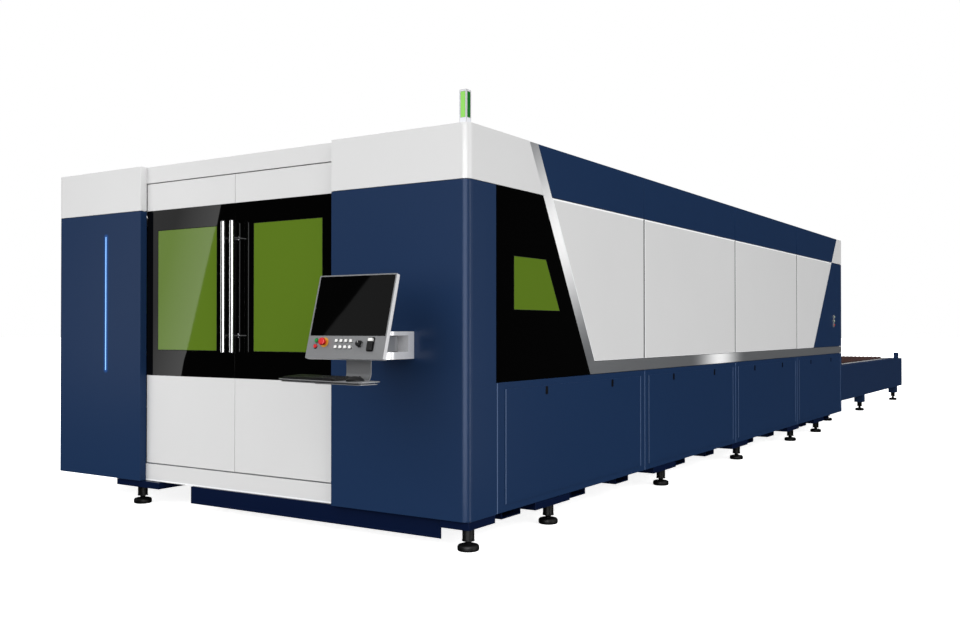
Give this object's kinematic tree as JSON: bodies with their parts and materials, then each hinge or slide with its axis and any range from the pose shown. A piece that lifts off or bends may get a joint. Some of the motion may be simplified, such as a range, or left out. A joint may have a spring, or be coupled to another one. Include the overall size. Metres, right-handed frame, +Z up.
{
  "type": "fiber laser cutting machine",
  "caption": "Enclosed sheet laser cutter: long cabin with sliding glazed doors, gantry and cutting head on a bed, swing-arm console and a pallet exchange table behind.",
  "frame": {"origin": "on the floor, under the middle of the machine's box", "axes": "+Z up, +Y along the machine from the doors to the exchange table, +X to the right of someone who faces the doors"},
  "size_m": [3.67, 14.6328, 2.515],
  "materials": {
    "navy_paint": "satin",
    "white_paint": "satin",
    "grey_paint": "satin",
    "steel": "brushed",
    "slat_steel": "raw",
    "aluminium": "satin",
    "dark_glass": "polished",
    "green_glass": "polished",
    "screen": "gloss",
    "black_plastic": "matte",
    "white_plastic": "gloss",
    "green_plastic": "gloss",
    "lens_plastic": "translucent",
    "red_plastic": "gloss",
    "light_plastic": "translucent",
    "foot_iron": "satin"
  },
  "bodies": {
    "machine": {"bed_frame": "navy_paint", "leveling_feet": "foot_iron", "skirt_panels": "navy_paint", "column_covers": "navy_paint", "white_top_covers": "white_paint", "led_strip": "light_plastic", "door_rails": "aluminium", "side_glass": "dark_glass", "side_windows": "green_glass", "trim_strips": "steel", "upper_navy_panels": "navy_paint", "white_side_panels": "white_paint", "access_panels": "navy_paint", "panel_latches": "steel", "roof_panels": "white_paint", "rear_wall": "white_paint", "cabin_frame": "white_paint", "lamp_frame": "aluminium", "lamp_lenses": "lens_plastic", "console_bracket": "grey_paint", "bracket_pin": "steel", "bed_guides": "steel", "table_frame": "navy_paint", "table_drive": "grey_paint", "rear_button_box": "grey_paint"},
    "gantry": {"gantry_beam": "grey_paint", "beam_guides": "steel"},
    "carriage": {"head_carriage": "aluminium"},
    "head": {"cutting_head": "aluminium"},
    "left_door": {"door_leaf_left": "white_paint", "door_glass_left": "dark_glass", "door_window_left": "green_glass", "door_handle_left": "steel"},
    "right_door": {"door_leaf_right": "white_paint", "door_glass_right": "dark_glass", "door_window_right": "green_glass", "door_handle_right": "steel"},
    "console": {"console_arm": "black_plastic", "console_housing": "grey_paint", "console_display": "screen", "keyboard_tray": "grey_paint", "keyboard": "black_plastic", "mouse": "black_plastic"},
    "upper_pallet": {"upper_pallet_frame": "grey_paint", "upper_pallet_slats": "slat_steel"},
    "lower_pallet": {"lower_pallet_frame": "grey_paint", "lower_pallet_slats": "slat_steel"},
    "start_button_body": {"start_button": "green_plastic"},
    "stop_button_body": {"stop_button": "red_plastic"},
    "estop_button_body": {"estop_button": "red_plastic"},
    "feed_knob_body": {"feed_knob": "black_plastic"},
    "mode_switch_body": {"mode_switch": "black_plastic"},
    "upper_key_1_body": {"upper_key_1": "white_plastic"},
    "upper_key_2_body": {"upper_key_2": "white_plastic"},
    "upper_key_3_body": {"upper_key_3": "white_plastic"},
    "upper_key_4_body": {"upper_key_4": "white_plastic"},
    "lower_key_1_body": {"lower_key_1": "white_plastic"},
    "lower_key_2_body": {"lower_key_2": "white_plastic"},
    "lower_key_3_body": {"lower_key_3": "white_plastic"},
    "lower_key_4_body": {"lower_key_4": "white_plastic"}
  },
  "joints": [
    {"name": "left_door_slide", "type": "slide", "parent": "machine", "child": "left_door", "axis": [-1, 0, 0], "range_m": [0, 0.8]},
    {"name": "right_door_slide", "type": "slide", "parent": "machine", "child": "right_door", "axis": [1, 0, 0], "range_m": [0, 0.8]},
    {"name": "gantry_travel", "type": "slide", "parent": "machine", "child": "gantry", "axis": [0, -1, 0], "range_m": [0, 6.55]},
    {"name": "head_cross", "type": "slide", "parent": "gantry", "child": "carriage", "axis": [1, 0, 0], "range_m": [-1.1, 1.1]},
    {"name": "head_lift", "type": "slide", "parent": "carriage", "child": "head", "axis": [0, 0, 1], "range_m": [-0.315, 0]},
    {"name": "console_swing", "type": "hinge", "parent": "machine", "child": "console", "pos_m": [1.333, -6.78359, 1.0773], "axis": [0, 0, 1], "range_deg": [-45, 45]},
    {"name": "upper_pallet_travel", "type": "slide", "parent": "machine", "child": "upper_pallet", "axis": [0, -1, 0], "range_m": [0, 7]},
    {"name": "lower_pallet_travel", "type": "slide", "parent": "machine", "child": "lower_pallet", "axis": [0, 1, 0], "range_m": [0, 7]},
    {"name": "start_button_press", "type": "slide", "parent": "console", "child": "start_button_body", "axis": [0, 0.9651, -0.2619], "range_m": [0, 0.003], "stiffness_N_per_m": 800},
    {"name": "stop_button_press", "type": "slide", "parent": "console", "child": "stop_button_body", "axis": [0, 0.9651, -0.2619], "range_m": [0, 0.003], "stiffness_N_per_m": 800},
    {"name": "estop_button_press", "type": "slide", "parent": "console", "child": "estop_button_body", "axis": [0, 0.9651, -0.2619], "range_m": [0, 0.003]},
    {"name": "feed_knob_turn", "type": "hinge", "parent": "console", "child": "feed_knob_body", "pos_m": [1.432, -7.07313, 1.12427], "axis": [0, 0.9651, -0.2619], "range_deg": [-150, 150]},
    {"name": "mode_switch_rock", "type": "hinge", "parent": "console", "child": "mode_switch_body", "pos_m": [1.5049, -7.0735, 1.12292], "axis": [1, 0, 0], "range_deg": [-5, 5]},
    {"name": "upper_key_1_press", "type": "slide", "parent": "console", "child": "upper_key_1_body", "axis": [0, 0.9651, -0.2619], "range_m": [0, 0.003], "stiffness_N_per_m": 400},
    {"name": "upper_key_2_press", "type": "slide", "parent": "console", "child": "upper_key_2_body", "axis": [0, 0.9651, -0.2619], "range_m": [0, 0.003], "stiffness_N_per_m": 400},
    {"name": "upper_key_3_press", "type": "slide", "parent": "console", "child": "upper_key_3_body", "axis": [0, 0.9651, -0.2619], "range_m": [0, 0.003], "stiffness_N_per_m": 400},
    {"name": "upper_key_4_press", "type": "slide", "parent": "console", "child": "upper_key_4_body", "axis": [0, 0.9651, -0.2619], "range_m": [0, 0.003], "stiffness_N_per_m": 400},
    {"name": "lower_key_1_press", "type": "slide", "parent": "console", "child": "lower_key_1_body", "axis": [0, 0.9651, -0.2619], "range_m": [0, 0.003], "stiffness_N_per_m": 400},
    {"name": "lower_key_2_press", "type": "slide", "parent": "console", "child": "lower_key_2_body", "axis": [0, 0.9651, -0.2619], "range_m": [0, 0.003], "stiffness_N_per_m": 400},
    {"name": "lower_key_3_press", "type": "slide", "parent": "console", "child": "lower_key_3_body", "axis": [0, 0.9651, -0.2619], "range_m": [0, 0.003], "stiffness_N_per_m": 400},
    {"name": "lower_key_4_press", "type": "slide", "parent": "console", "child": "lower_key_4_body", "axis": [0, 0.9651, -0.2619], "range_m": [0, 0.003], "stiffness_N_per_m": 400}
  ],
  "couplings": [
    {"joint": "lower_pallet_travel", "follows": "upper_pallet_travel", "ratio": 1}
  ]
}
